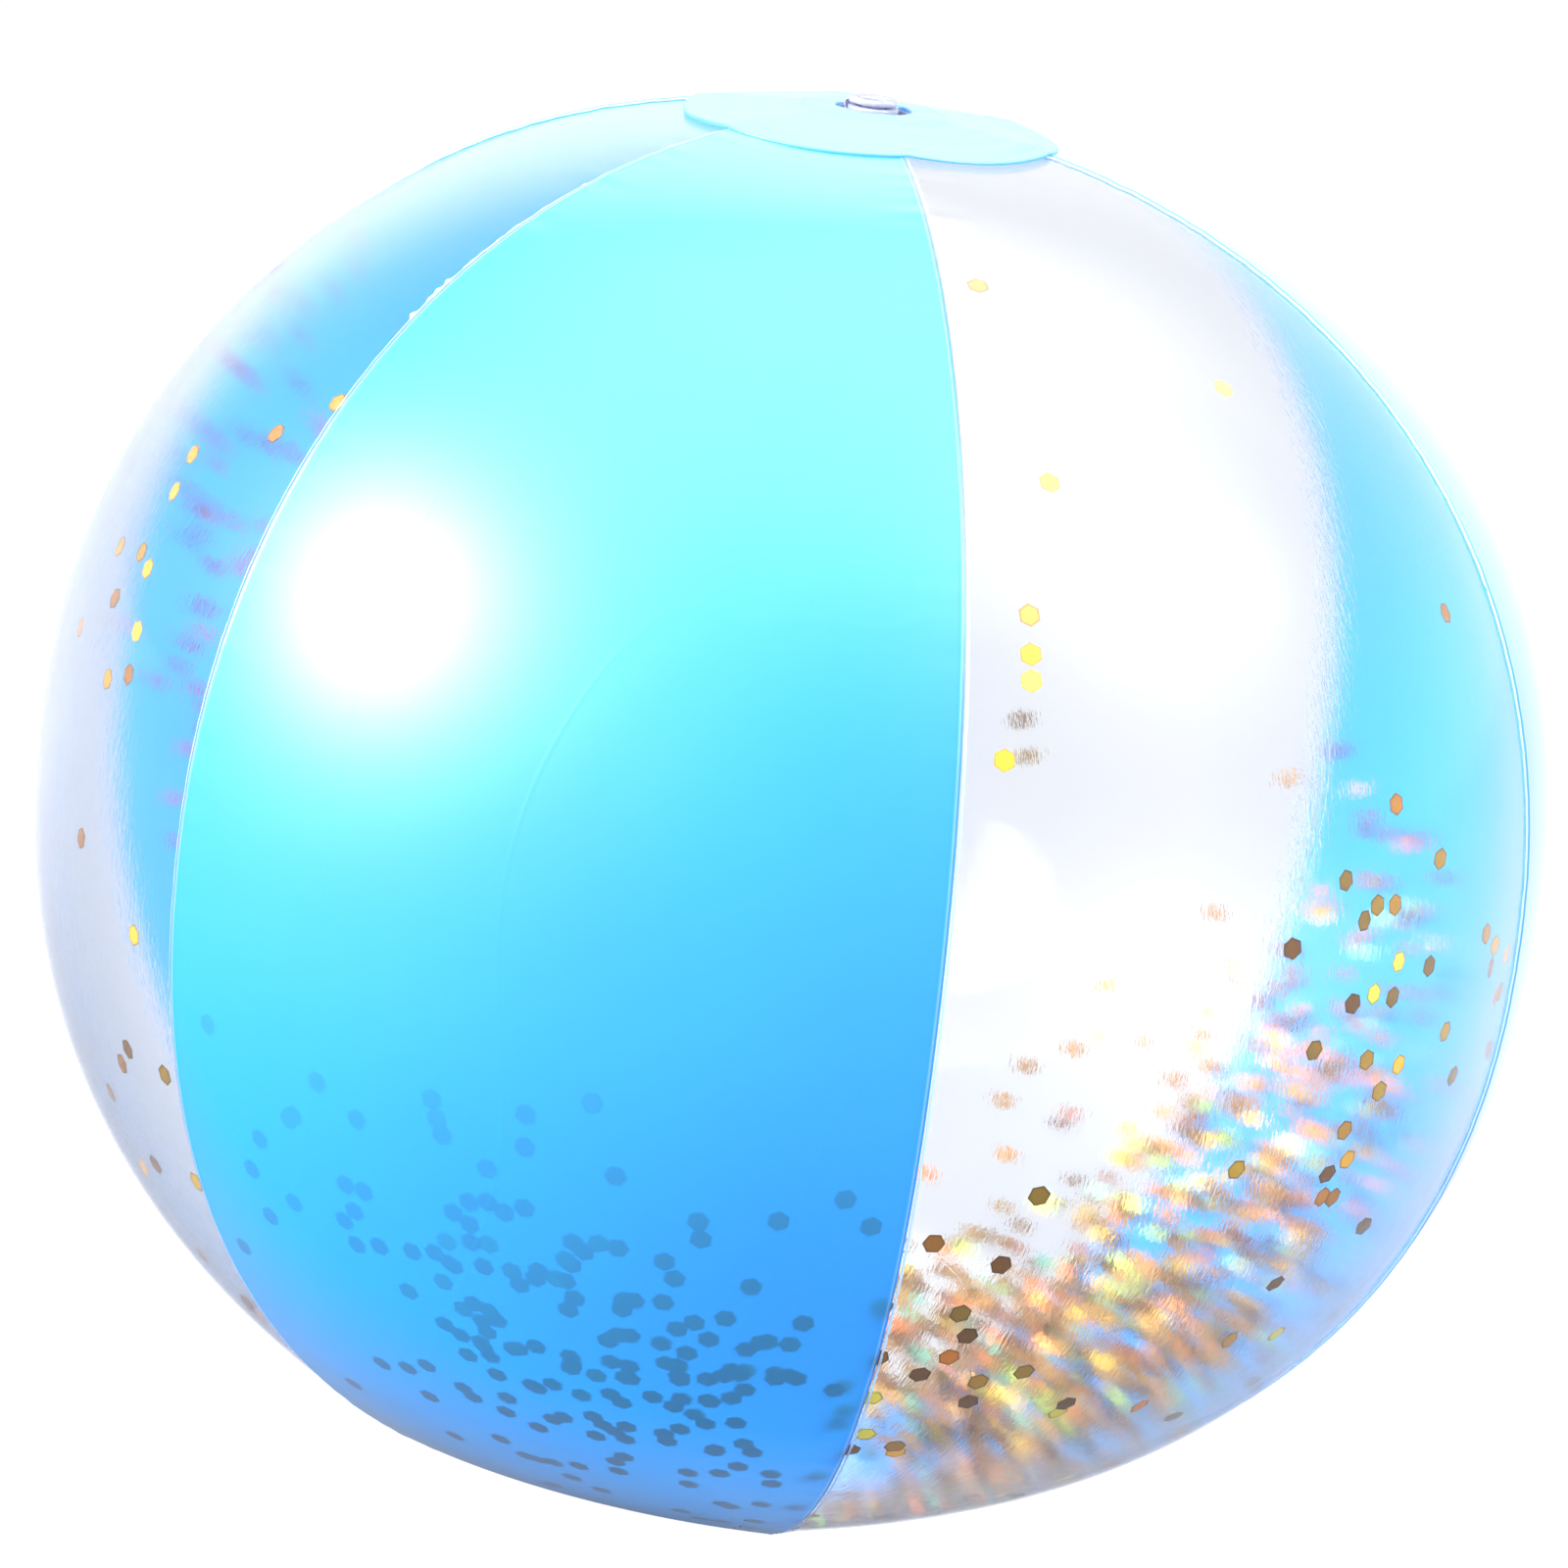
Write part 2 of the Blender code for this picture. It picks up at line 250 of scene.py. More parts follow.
class Nodes:
    """A short way to add and join a material's nodes."""

    def __init__(self, name):
        self.material = bpy.data.materials.new(name)
        self.material.use_nodes = True
        self.tree = self.material.node_tree
        self.tree.nodes.clear()
        self.output = self.add("ShaderNodeOutputMaterial")

    def add(self, kind, sockets=None, **settings):
        node = self.tree.nodes.new(kind)
        for key, value in settings.items():
            setattr(node, key, value)
        for key, value in (sockets or {}).items():
            self.feed(node.inputs[key], value)
        return node

    def feed(self, socket, value):
        if isinstance(value, bpy.types.NodeSocket):
            self.tree.links.new(value, socket)
        else:
            socket.default_value = value

    def math(self, operation, a, b=0.0, clamp=False):
        node = self.add("ShaderNodeMath", operation=operation, use_clamp=clamp)
        self.feed(node.inputs[0], a)
        self.feed(node.inputs[1], b)
        return node.outputs[0]

    def mix_colour(self, share, a, b):
        node = self.add("ShaderNodeMix", data_type="RGBA")
        self.feed(node.inputs["Factor"], share)
        self.feed(node.inputs[6], a)
        self.feed(node.inputs[7], b)
        return node.outputs[2]

    def mix_shader(self, share, a, b):
        node = self.add("ShaderNodeMixShader")
        self.feed(node.inputs[0], share)
        self.feed(node.inputs[1], a)
        self.feed(node.inputs[2], b)
        return node.outputs[0]

    def spread(self, value, low, high):
        """Map noise from 0..1 to a range."""
        node = self.add("ShaderNodeMapRange", {"Value": value, "To Min": low, "To Max": high})
        return node.outputs[0]

    def film_noise(self, across, along, detail=2.0):
        """Noise on the film's own map, with grains this long across and along the gore."""
        place = self.add("ShaderNodeUVMap", uv_map="film").outputs[0]
        sockets = {"Vector": place, "Scale": (1 / across, 1 / along, 1)}
        place = self.add("ShaderNodeMapping", sockets).outputs[0]
        return self.noise(place, 1.0, detail)

    def space_noise(self, size, detail=2.0):
        """Noise in the object's own space, with grains of this size."""
        return self.noise(self.add("ShaderNodeTexCoord").outputs["Object"], 1 / size, detail)

    def noise(self, place, scale, detail):
        sockets = {"Vector": place, "Scale": scale, "Detail": detail}
        return self.add("ShaderNodeTexNoise", sockets).outputs["Fac"]

    def creases(self, across, along, width):
        """Long thin lines wandering over the film: one where they run, zero elsewhere."""
        off = self.math("SUBTRACT", self.film_noise(across, along, 0.5), 0.5)
        off = self.math("ABSOLUTE", off)
        return self.math("SUBTRACT", 1.0, self.math("DIVIDE", off, width), clamp=True)

    def facing(self):
        """Zero where the surface faces the viewer, and one where it is seen edge on."""
        return self.add("ShaderNodeLayerWeight", {"Blend": FACING_BLEND}).outputs["Facing"]

    def rise(self, value, start, length):
        """Zero up to start, and one from start + length on."""
        return self.math("DIVIDE", self.math("SUBTRACT", value, start), length, clamp=True)

    def shadow_specks(self, spacing, radius):
        """Sparse round dots of painted shadow, as small bits behind the film would cast."""
        place = self.add("ShaderNodeUVMap", uv_map="film")
        cells = self.add("ShaderNodeTexVoronoi", {"Vector": place.outputs[0], "Scale": 1 / spacing})
        near = self.math("LESS_THAN", cells.outputs["Distance"], radius / spacing)
        chosen = self.math("LESS_THAN", cells.outputs["Color"], 0.45)
        return self.math("MULTIPLY", near, chosen)

    def mark(self, label):
        """A mesh's own mark, such as the painted shade along its weld groove."""
        return self.add("ShaderNodeAttribute", attribute_name=label).outputs["Fac"]

    def bump(self, height, distance, normal=None):
        sockets = {"Height": height, "Distance": distance, "Strength": 1.0}
        if normal is not None:
            sockets["Normal"] = normal
        return self.add("ShaderNodeBump", sockets).outputs[0]

    def finish(self, shader):
        self.tree.links.new(shader, self.output.inputs["Surface"])
        return self.material


def tinted_film(name, colour, deep, pale, through, roughness, bleach):
    """Coloured film: satin, bleached where it is seen edge on, with some light from behind.

    Deep is its colour in its clouds and painted shade in the weld's groove; pale is painted glow on
    lip and bead.
    """
    n = Nodes(name)
    cloud = n.film_noise(0.045, 0.06)
    base = n.mix_colour(n.spread(cloud, 0.0, 0.35), (*colour, 1), (*deep, 1))
    # Painted shadow: sparse dark dots, as cast by small bits behind the film.
    base = n.mix_colour(n.shadow_specks(0.050, 0.0009), base, SPECK_SHADOW)
    # Painted shade: the groove mark deepens the colour in the weld's groove and at the caps' cut
    # edges.
    base = n.mix_colour(n.mark("groove_shade"), base, (*deep, 1))
    # Painted highlight: the lip mark makes the cut lip and the weld's bead pale, as if lit and
    # glowing.
    base = n.mix_colour(n.mark("glowing_lip"), base, (*pale, 1))
    normal = n.bump(n.film_noise(0.0011, 0.0016, 3.0), 0.000004)
    normal = n.bump(n.film_noise(0.0016, 0.09), 0.000004, normal=normal)
    normal = n.bump(n.creases(0.07, 0.19, 0.004), 0.000016, normal=normal)
    rough = n.spread(n.film_noise(0.012, 0.05, 4.0), roughness - 0.03, roughness + 0.03)
    shader = n.add(
        "ShaderNodeBsdfPrincipled",
        {
            "Base Color": base,
            "Roughness": rough,
            "IOR": 1.5,
            "Specular IOR Level": 1.0,
            "Coat Weight": 1.0,
            "Coat Roughness": roughness,
            "Coat IOR": 1.75,
            "Normal": normal,
            "Coat Normal": normal,
        },
    )
    glow = n.add("ShaderNodeBsdfTranslucent", {"Color": base, "Normal": normal})
    body = n.mix_shader(through, shader.outputs[0], glow.outputs[0])
    edge = n.math("POWER", n.rise(n.facing(), 0.47, 0.46), 1.3)
    edge = n.math("MULTIPLY", edge, bleach)
    inside = n.add("ShaderNodeNewGeometry").outputs["Backfacing"]
    outside = n.math("SUBTRACT", 1.0, n.math("MULTIPLY", inside, 0.7))
    edge = n.math("MULTIPLY", edge, outside)
    sockets = {"Color": SHEEN, "Roughness": 0.32, "Normal": normal}
    sheen = n.add("ShaderNodeBsdfGlossy", sockets)
    return n.finish(n.mix_shader(edge, body, sheen.outputs[0]))


def clear_film(name, rippled, roughness, haze, edge_haze):
    """One face of the clear film.

    Lamps and soft light pass straight, and what is seen through it is blurred. Haze is the share of
    its light that it scatters back, and edge haze is added where it is seen edge on.
    """
    n = Nodes(name)
    normal = None
    if rippled:
        normal = n.bump(n.film_noise(0.0005, 0.0020), 0.000021)
        normal = n.bump(n.film_noise(0.0009, 0.0080), 0.000013, normal=normal)
        normal = n.bump(n.creases(0.05, 0.12, 0.0015), 0.000005, normal=normal)
    sockets = {
        "Base Color": CLEAR_TINT,
        "Roughness": roughness,
        "IOR": 1.30,
        "Transmission Weight": 1.0,
    }
    haze_sockets = {"Color": HAZE_TINT, "Roughness": 0.45}
    if normal is not None:
        sockets["Normal"] = normal
        haze_sockets["Normal"] = normal
    glass = n.add("ShaderNodeBsdfPrincipled", sockets)
    haze_gloss = n.add("ShaderNodeBsdfGlossy", haze_sockets)
    facing = n.facing()
    share = n.math("POWER", n.rise(facing, 0.60, 0.30), 1.5)
    share = n.math("MULTIPLY", share, edge_haze)
    share = n.math("ADD", share, haze, clamp=True)
    body = n.mix_shader(share, glass.outputs[0], haze_gloss.outputs[0])
    path = n.add("ShaderNodeLightPath")
    clear = n.add("ShaderNodeBsdfTransparent", {"Color": CLEAR_SHADOW})
    edge = n.math("MULTIPLY", n.math("POWER", facing, 5.0), 0.8)
    body = n.mix_shader(edge, body, clear.outputs[0])
    body = n.mix_shader(path.outputs["Is Shadow Ray"], body, clear.outputs[0])
    return n.finish(n.mix_shader(path.outputs["Is Diffuse Ray"], body, clear.outputs[0]))


def valve_vinyl():
    """Soft milky vinyl of the valve."""
    n = Nodes("valve_vinyl_milky")
    cloud = n.space_noise(0.0025)
    base = n.mix_colour(cloud, VINYL_DIM, VINYL_BRIGHT)
    rough = n.spread(n.space_noise(0.0012), 0.20, 0.34)
    normal = n.bump(n.space_noise(0.0007, 3.0), 0.00002)
    shader = n.add(
        "ShaderNodeBsdfPrincipled",
        {"Base Color": base, "Roughness": rough, "IOR": 1.5, "Normal": normal},
    )
    glow = n.add("ShaderNodeBsdfTranslucent", {"Color": base, "Normal": normal})
    return n.finish(n.mix_shader(0.5, shader.outputs[0], glow.outputs[0]))


def sequin_foil():
    """Metallised holographic foil; each sequin carries its own tint, one for either face."""
    n = Nodes("sequin_foil")
    tint = n.add("ShaderNodeAttribute", attribute_name="tint").outputs["Color"]
    fleck = n.space_noise(0.0006, 1.0)
    base = n.mix_colour(n.spread(fleck, 0.0, 0.05), tint, FLECK)
    rough = n.spread(fleck, 0.54, 0.66)
    shader = n.add(
        "ShaderNodeBsdfPrincipled", {"Base Color": base, "Roughness": rough, "Metallic": 0.85}
    )
    return n.finish(shader.outputs[0])


BLUE = tinted_film(
    "film_blue",
    colour=(0.012, 0.39, 0.88),
    deep=(0.008, 0.27, 0.80),
    pale=(0.66, 0.84, 1.0),
    through=0.42,
    roughness=0.45,
    bleach=0.95,
)
PALE = tinted_film(
    "film_cap",
    colour=(0.24, 0.53, 0.88),
    deep=(0.06, 0.40, 0.90),
    pale=(0.60, 0.86, 1.0),
    through=0.38,
    roughness=0.42,
    bleach=0.22,
)
CLEAR_OUT = clear_film("film_clear_outer", True, roughness=0.06, haze=0.032, edge_haze=0.34)
CLEAR_IN = clear_film("film_clear_inner", False, roughness=0.05, haze=0.0, edge_haze=0.0)
VINYL = valve_vinyl()
FOIL = sequin_foil()


# The gores ----------------------------------------------------------------------------------------

BLUE_ROWS = 340
CLEAR_ROWS = 260
LIP_ROWS = 1100
LIP_COLUMNS = 6
BLUE_COLUMNS = 34  # between the two welds
CLEAR_COLUMNS = 43
LIP_WIDTH = 0.00028
LIP_FOOT = 0.95 * LIP_WIDTH
LIP_NICKS = 14
LIP_WAVES = (0.0021, 0.0034, 0.0059, 0.0097, 0.0163)
# Across the weld, from the film's cut edge inwards: distance from the seam, depth, painted groove
# shade, painted highlight of lip and bead.
WELD = (
    (0.00050, 0.00030, 0.7, 0.0),
    (0.00052, 0.00012, 0.8, 0.0),
    (0.00068, 0.00013, 0.8, 0.0),
    (0.00084, 0.00006, 0.6, 0.0),
    (0.00094, -0.00005, 0.0, 0.15),
    (0.00108, -0.00008, 0.0, 0.3),
    (0.00122, -0.00005, 0.0, 0.15),
    (0.00136, -0.00001, 0.1, 0.0),
    (0.00165, 0.0, 0.15, 0.0),
    (0.00220, 0.0, 0.0, 0.0),
    (0.00340, 0.0, 0.0, 0.0),
    (0.00520, 0.0, 0.0, 0.0),
    (0.00760, 0.0, 0.0, 0.0),
)


def add_blue_gore(name, middle):
    """One blue gore: an open film with its two welded edges pressed in beside a raised bead."""
    end = polar(GORE_END_RADIUS)
    angles, along = arc_steps(end, math.pi - end, BLUE_ROWS)
    radius = side_view(angles)[0][:, None]
    half = radius * SEAM_STEP / 2
    weld = np.array(WELD)
    inner = np.linspace(-1, 1, BLUE_COLUMNS + 1)[None, :] * (half - weld[-1, 0])
    left = -half + weld[None, :-1, 0]
    across = np.concatenate((left, inner, -left[:, ::-1]), axis=1)
    flat = np.zeros(BLUE_COLUMNS + 1)
    depth, groove_shade, glowing_lip = (
        np.concatenate((weld[:-1, k], flat, weld[:-1, k][::-1])) for k in (1, 2, 3)
    )
    points = surface(angles[:, None], middle + across / radius, depth[None, :])
    rows, columns = across.shape
    film_map = film_place(across, along[:, None])
    # The marks paint shade into the weld's groove and a highlight onto the lip and the bead.
    marks = {"groove_shade": np.tile(groove_shade, rows), "glowing_lip": np.tile(glowing_lip, rows)}
    faces = grid_faces(rows, columns)
    return add_piece(name, points, faces, [BLUE], film_map=film_map, marks=marks)


def add_clear_gore(name, middle):
    """One clear gore: a closed film with a rippled outer face and a smooth inner one."""
    end = polar(GORE_END_RADIUS)
    angles, along = arc_steps(end, math.pi - end, CLEAR_ROWS)
    radius = side_view(angles)[0][:, None]
    half = radius * SEAM_STEP / 2 + LAP
    across = np.linspace(-1, 1, CLEAR_COLUMNS)[None, :] * half
    rows, columns = across.shape
    outer = surface(angles[:, None], middle + across / radius, LAYER)
    inner = surface(angles[:, None], middle + across / radius, LAYER + FILM)
    count = rows * columns
    border = np.concatenate(
        (
            np.arange(columns),
            np.arange(1, rows) * columns + columns - 1,
            (rows - 1) * columns + np.arange(columns - 2, -1, -1),
            np.arange(rows - 2, 0, -1) * columns,
        )
    )
    ahead = np.roll(border, -1)
    rim = np.stack((border, ahead, ahead + count, border + count), -1)
    face = grid_faces(rows, columns)
    faces = np.concatenate((face, grid_faces(rows, columns, flip=True, first=count), rim))
    slots = np.zeros(len(faces), int)
    slots[len(face) : 2 * len(face)] = 1
    film_map = film_place(across, along[:, None])
    film_map = np.concatenate((film_map, film_map))
    points = np.concatenate((outer, inner))
    return add_piece(name, points, faces, [CLEAR_OUT, CLEAR_IN], slots, film_map)


def add_seam_lip(name, seam, side, burrs, seed):
    """The narrow strip of film outside a weld, with a few torn burrs along it; its pale colour is a
    painted glow of the cut edge.

    A burr is its polar angle in degrees, its length along the seam and its extra width.
    """
    rng = np.random.default_rng(seed)
    start = polar(CAP_RADIUS) - 0.02
    angles, along = arc_steps(start, math.pi - start, LIP_ROWS)
    waves = sum(
        np.sin(math.tau * along / length + rng.uniform(0, math.tau)) for length in LIP_WAVES
    )
    width = LIP_WIDTH * (1 + 0.05 * waves)
    lift = np.zeros(LIP_ROWS)
    for place, length, extra in burrs:
        off = (along - np.interp(math.radians(place), angles, along)) / length
        swell = np.exp(-(off**2)) * (1 + 0.25 * waves)
        width = width + extra * np.clip(swell, 0, 1.4)
        lift = lift + 0.4 * extra * np.exp(-(off**2))
    for nick in rng.uniform(0, along[-1], LIP_NICKS):
        width = width - 0.5 * width * np.exp(-(((along - nick) / 0.0004) ** 2))
    share = np.linspace(0, 1, LIP_COLUMNS)[None, :]
    across = LIP_FOOT - share * (width[:, None] + LIP_FOOT)
    radius = side_view(angles)[0][:, None]
    depth = 0.00010 + 0.00024 * share**2 - lift[:, None] * share
    points = surface(angles[:, None], seam + side * across / radius, depth)
    film_map = film_place(across, along[:, None])
    # The first seam's edge turns from a pale painted glow to deep blue painted shade low down.
    pale = np.ones(LIP_ROWS)
    if seam < FIRST_SEAM + SEAM_STEP / 2:
        pale = np.clip((math.radians(108) - angles) / math.radians(30), 0, 1)
    glowing_lip = (0.75 + 0.25 * share) * pale[:, None]
    marks = {"groove_shade": np.broadcast_to(1 - pale[:, None], across.shape), "glowing_lip": glowing_lip}
    faces = grid_faces(LIP_ROWS, LIP_COLUMNS, flip=side > 0)
    return add_piece(name, points, faces, [BLUE], film_map=film_map, marks=marks)


# Where the six cut edges are torn: the first, on the left of the front gore, is the roughest.
BURRS = (
    (
        (34, 0.0140, 0.00022),
        (26, 0.0006, 0.0004),
        (40, 0.0006, 0.0008),
        (41.5, 0.0018, 0.0006),
        (44, 0.0010, 0.0006),
    ),
    ((150, 0.0015, 0.0005),),
    ((62, 0.0010, 0.0005),),
    ((118, 0.0012, 0.0006), (121, 0.0006, 0.0006)),
    ((40, 0.0008, 0.0005),),
    ((96, 0.0012, 0.0005), (140, 0.0008, 0.0005)),
)


def add_gores():
    """All six gores, with the lips of each blue one."""
    for i in range(GORES // 2):
        middle = FIRST_SEAM + (4 * i + 1) * math.pi / GORES
        blue = add_blue_gore(f"film_blue_{i + 1}", middle)
        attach(blue, "ball")
        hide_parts(f"gore_blue_{i + 1}")
        clear = add_clear_gore(f"film_clear_{i + 1}", middle + SEAM_STEP)
        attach(clear, "ball")
        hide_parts(f"gore_clear_{i + 1}")
        for k, side in enumerate((1, -1)):
            number = 2 * i + k
            seam = middle - side * SEAM_STEP / 2
            seed = 10 * i + side + 3
            glowing_lip = add_seam_lip(f"seam_lip_{number + 1}", seam, side, BURRS[number], seed)
            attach(glowing_lip, "ball")


# The caps -----------------------------------------------------------------------------------------

CAP_TURNS = np.linspace(0, math.tau, 193)[None, :-1]
CAP_PLAIN = CAP_RADIUS - 0.0004
# Rings of points between the upper cap's hole and edge, and in and around the lower one's flat.
TOP_RINGS = 93
REST_RINGS, OUTER_RINGS = 40, 30
# The cap's cut edge: radii, how far it drops, and its painted shade marks from two rings inside it.
EDGE_RADII = (0.03285, CAP_RADIUS, CAP_RADIUS + 0.00002, CAP_RADIUS + 0.00002)
EDGE_DROP = (0.00002, 0.00008, 0.00022, 0.00045)
EDGE_SHADE = (0.1, 0.3, 0.6, 0.9, 1.0, 1.0)
# The same at the edge of the valve's hole, where painted shade darkens the turned-down film.
HOLE_STEPS = (0.0, 0.00003, 0.00015)
HOLE_DROP = (0.0007, 0.0003, 0.00006)
HOLE_SHADE = (1.0, 0.8, 0.3)


def hump(value, middle, width):
    """A smooth hump, one high."""
    return np.exp(-(((value - middle) / width) ** 2))


def cap_relief(radius, longitude):
    """How the cap film follows what is under it: the gores' ends, their seams and the flange."""
    ridge = hump(seam_turn(longitude) * radius, 0, 0.0016) * np.clip((radius - 0.026) / 0.002, 0, 1)
    ends = -0.00025 / (1 + np.exp((radius - 0.0268) / 0.0004))
    weld = -0.00010 * hump(radius, CAP_RADIUS - 0.0025, 0.0005)
    flange = 0.00030 / (1 + np.exp((radius - FLANGE_RADIUS) / 0.0003))
    ring = -0.00012 * hump(radius, FLANGE_RADIUS - 0.0016, 0.0004)
    return 0.00010 * ridge + ends + weld + flange + ring


def cap_marks(radii, groove_shade):
    """The film's map and painted shade marks for a cap of these rings."""
    film_map = film_place(CAP_TURNS * 0.02, radii[:, None])
    groove_shade = groove_shade[:, None] * np.ones_like(CAP_TURNS)
    return film_map, {"groove_shade": groove_shade, "glowing_lip": np.zeros(groove_shade.shape)}


def add_top_cap():
    """The upper cap, with the valve's hole and the flange showing through as a faint ring; shade is
    painted at hole, ring and rim.
    """
    plain = np.linspace(HOLE_RADIUS + 0.0004, CAP_PLAIN, TOP_RINGS)
    radii = np.concatenate((HOLE_RADIUS + np.array(HOLE_STEPS), plain, EDGE_RADII))
    drop = np.concatenate((HOLE_DROP, np.zeros(TOP_RINGS), EDGE_DROP))
    angles = np.array([polar(radius) for radius in radii])[:, None]
    depth = -LAYER - cap_relief(radii[:, None], CAP_TURNS) + drop[:, None]
    points = surface(angles, CAP_TURNS, depth)
    # Painted shade at the hole's turned-down edge and at the cut edge of the rim.
    groove_shade = np.concatenate((HOLE_SHADE, np.zeros(TOP_RINGS - 2), EDGE_SHADE))
    # Painted shade along the faint ring where the film dips beside the flange.
    groove_shade = groove_shade + 0.35 * hump(radii, FLANGE_RADIUS - 0.0012, 0.0004)
    film_map, marks = cap_marks(radii, groove_shade)
    faces = grid_faces(len(radii), CAP_TURNS.shape[1], wraps=True)
    return add_piece("film_top_cap", points, faces, [PALE], film_map=film_map, marks=marks)


def add_bottom_cap():
    """The lower cap, pressed flat where the ball stands."""
    turns = CAP_TURNS
    rest = np.linspace(0.0004, REST_RADIUS, REST_RINGS)
    plain = np.linspace(REST_RADIUS + 0.0005, CAP_PLAIN, OUTER_RINGS)
    radii = np.concatenate((rest, plain, EDGE_RADII))
    inside = REST_RINGS + OUTER_RINGS
    drop = np.concatenate((np.zeros(inside), EDGE_DROP))
    angles = np.array([math.pi - polar(radius) for radius in radii])[:, None]
    depth = -LAYER + drop[:, None]
    points = surface(angles, turns, depth * np.ones_like(turns))
    flat = radii < REST_RADIUS + 0.0001
    points[flat, :, 0] = radii[flat, None] * np.cos(turns)
    points[flat, :, 1] = radii[flat, None] * np.sin(turns)
    points[flat, :, 2] = 0.0
    points[..., 2] = np.maximum(points[..., 2], 0.0)
    # Painted shade along the cut edge of the rim.
    film_map, marks = cap_marks(radii, np.concatenate((np.zeros(inside - 2), EDGE_SHADE)))
    columns = turns.shape[1]
    points = np.concatenate((points.reshape(-1, 3), [[0, 0, 0]]))
    film_map = np.concatenate((film_map.reshape(-1, 2), [[0, 0]]))
    marks = {label: np.append(values, 0.0) for label, values in marks.items()}
    middle = len(points) - 1
    fan = [[middle, i, (i + 1) % columns] for i in range(columns)]
    faces = [*grid_faces(len(radii), columns, wraps=True, flip=True), *fan]
    return add_piece("film_bottom_cap", points, faces, [PALE], film_map=film_map, marks=marks)


def add_caps():
    """Both caps, each a round sheet."""
    for cap, node in ((add_top_cap(), "top_cap"), (add_bottom_cap(), "bottom_cap")):
        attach(cap, "ball")
        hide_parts(node)


# The valve ----------------------------------------------------------------------------------------

STEM_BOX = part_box("valve_stem")
SKIRT_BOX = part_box("valve_skirt")
PLUG_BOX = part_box("valve_plug")
FLAP_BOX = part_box("valve_flap")
FACE, FOOT = SKIRT_BOX[1].z, SKIRT_BOX[0].z
RIM, BASE = STEM_BOX[1].z, STEM_BOX[0].z
STEM_RADIUS = 0.0045
BORE_RADIUS = 0.0028
COLLAR_RADIUS = STEM_BOX[1].y
HEAD_RADIUS = PLUG_BOX[1].y
HEAD_TOP = PLUG_BOX[1].z
SEAT = HEAD_TOP - 0.0013
SHANK_TIP = PLUG_BOX[0].z
HINGE_X = PLUG_BOX[0].x
STRAP_HALF = 0.0015
STRAP_THICKNESS = 0.0004
SLEEVE_WALL = 0.0005
SLEEVE_FOOT = 0.0057


def add_vinyl(name, body, points, faces, node=None):
    """A vinyl piece that rides on a body and stands for a CAD node, where these are named."""
    piece = add_piece(name, points, faces, [VINYL])
    if body:
        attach(piece, body)
    if node:
        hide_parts(node)
    return piece


def turned(profile, outline=None, turns=72):
    """A body turned about the pole axis; outline(direction, radius) may push its points in or out.

    The profile lists radius and height up the outside, and its ends lie on the axis or meet.
    """
    profile = [(max(radius, 0.00002), height) for radius, height in profile]
    radius = np.array([p[0] for p in profile])[:, None]
    height = np.array([p[1] for p in profile])[:, None]
    turn = np.linspace(0, math.tau, turns + 1)[None, :-1]
    reach = radius * np.ones_like(turn)
    if outline:
        reach = outline(turn, reach)
    points = np.stack((reach * np.cos(turn), reach * np.sin(turn), height * np.ones_like(turn)), -1)
    faces = grid_faces(len(profile), turns, wraps=True, flip=True).tolist()
    if radius[0, 0] < 0.0001:
        faces.append(list(range(turns - 1, -1, -1)))
        faces.append([(len(profile) - 1) * turns + k for k in range(turns)])
    else:
        last = (len(profile) - 1) * turns
        faces += [[last + k, last + (k + 1) % turns, (k + 1) % turns, k] for k in range(turns)]
    return points, faces


def with_tab(reach_x, half):
    """An outline that grows a square tab towards -x."""

    def outline(turn, reach):
        back = np.abs(np.angle(np.exp(1j * (turn - math.pi))))
        end = reach_x / np.maximum(np.cos(back), 0.01)
        side = half / np.maximum(np.sin(back), 0.01)
        tab = np.where(back < 1.2, np.minimum(end, side), 0)
        return np.maximum(reach, tab * (reach > 0.6 * np.max(reach)))

    return outline


def add_sleeve():
    """The thin pleated sleeve from the hole's edge down to the stem's collar."""
    share = np.linspace(0, 1, 25)
    top = HOLE_RADIUS - 0.0001
    start = FACE - 0.0006
    waist = top + (SLEEVE_FOOT - top) * share + 0.00012 * np.sin(share * math.tau * 3)
    height = start + (FOOT - start) * share
    outer = list(zip(waist[::-1], height[::-1]))
    inner = list(zip(waist - SLEEVE_WALL, height))
    sleeve = add_vinyl("valve_sleeve", None, *turned([*outer, *inner]), "valve_skirt")
    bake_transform(sleeve)


def add_stem():
    """The tube: a rolled rim, a bead where it is gripped, and the collar at its foot."""
    bore, collar, tube = BORE_RADIUS, COLLAR_RADIUS, STEM_RADIUS
    outside = [
        (bore, BASE + 0.0001),
        (bore + 0.0002, BASE),
        (collar - 0.0002, BASE),
        (collar, BASE + 0.0002),
        (collar, BASE + 0.0006),
        (collar - 0.0002, BASE + 0.0008),
        (tube, BASE + 0.0010),
        (tube - 0.0002, BASE + 0.0030),
        (tube - 0.0002, RIM - 0.0030),
        (tube, RIM - 0.0022),
        (tube - 0.0002, RIM - 0.0014),
        (tube, RIM - 0.0005),
        (tube - 0.0001, RIM - 0.0001),
        (tube - 0.0004, RIM),
        (bore + 0.0003, RIM),
        (bore, RIM - 0.0002),
    ]
    add_vinyl("valve_tube", "valve_stem", *turned(outside), "valve_stem")


def head_outline(turn, reach):
    """The plug's soft head is pinched into uneven lobes."""
    outer = np.clip((reach / HEAD_RADIUS - 0.70) / 0.3, 0, 1)
    lobes = 0.050 * np.cos(5 * turn + 0.6) + 0.025 * np.cos(8 * turn + 2.0)
    return reach * (1 - outer * (0.04 - lobes))


